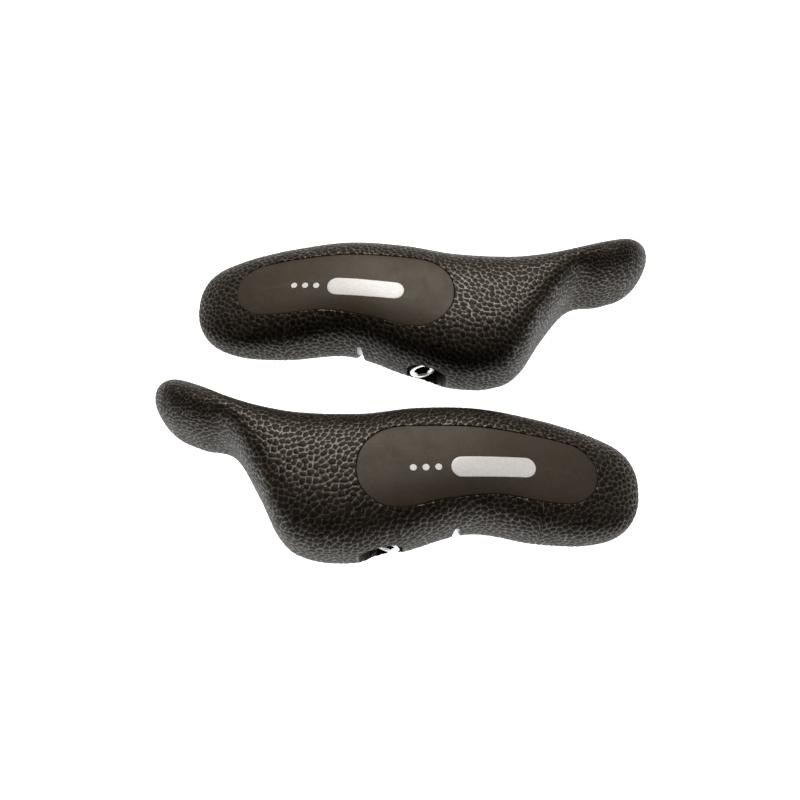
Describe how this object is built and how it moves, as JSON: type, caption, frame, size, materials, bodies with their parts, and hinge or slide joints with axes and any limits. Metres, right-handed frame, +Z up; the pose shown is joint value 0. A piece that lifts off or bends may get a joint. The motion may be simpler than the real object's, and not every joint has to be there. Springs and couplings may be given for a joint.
{
  "type": "bar end grips",
  "caption": "Left and right ergonomic bicycle bar ends: rubber-covered palm horn and thumb tongue, with a smooth palm pad and a split clamp closed by a socket bolt.",
  "frame": {"origin": "centre of the left bar end's handlebar bore, in the plane of its mouth and of the surface the pair lies on", "axes": "+Z up out of the inboard face, along both bores; +X from the left bar end's palm horn towards its thumb tongue"},
  "size_m": [0.1705, 0.1181, 0.0331],
  "materials": {
    "cover_rubber": "matte, pebbled like leather",
    "pad_rubber": "smooth, fine grained, satin",
    "badge_print": "printed film",
    "frame_nylon": "moulded",
    "cast_aluminium": "as cast, bored",
    "bolt_chrome": "bright plated",
    "washer_steel": "zinc plated",
    "nut_steel": "zinc plated"
  },
  "bodies": {
    "left_bar_end": {"left_clamp": "cast_aluminium", "left_inner_frame": "frame_nylon", "left_rubber_cover": "cover_rubber", "left_palm_pad": "pad_rubber", "left_badge": "badge_print", "left_square_nut": "nut_steel"},
    "left_bolt_carrier": {"left_washer": "washer_steel"},
    "left_bolt": {"left_clamp_bolt": "bolt_chrome"},
    "right_bar_end": {"right_clamp": "cast_aluminium", "right_inner_frame": "frame_nylon", "right_rubber_cover": "cover_rubber", "right_palm_pad": "pad_rubber", "right_badge": "badge_print", "right_square_nut": "nut_steel"},
    "right_bolt_carrier": {"right_washer": "washer_steel"},
    "right_bolt": {"right_clamp_bolt": "bolt_chrome"}
  },
  "joints": [
    {"name": "right_set_apart", "type": "slide", "parent": "left_bar_end", "child": "right_bar_end", "axis": [0, -1, 0], "range_m": [0, 0.08]},
    {"name": "left_bolt_travel", "type": "slide", "parent": "left_bar_end", "child": "left_bolt_carrier", "axis": [0.1736, -0.9848, 0], "range_m": [0, 0.004]},
    {"name": "left_bolt_turn", "type": "hinge", "parent": "left_bolt_carrier", "child": "left_bolt", "pos_m": [-0.02167, -0.00382, 0.0095], "axis": [0.1736, -0.9848, 0], "range_deg": [0, 1441]},
    {"name": "right_bolt_travel", "type": "slide", "parent": "right_bar_end", "child": "right_bolt_carrier", "axis": [-0.2588, -0.9659, 0], "range_m": [0, 0.004]},
    {"name": "right_bolt_turn", "type": "hinge", "parent": "right_bolt_carrier", "child": "right_bolt", "pos_m": [-0.02775, -0.06769, 0.0095], "axis": [-0.2588, -0.9659, 0], "range_deg": [0, 1441]}
  ],
  "couplings": [
    {"joint": "left_bolt_turn", "follows": "left_bolt_travel", "rad_per_m": 6283.2},
    {"joint": "right_bolt_turn", "follows": "right_bolt_travel", "rad_per_m": 6283.2}
  ]
}
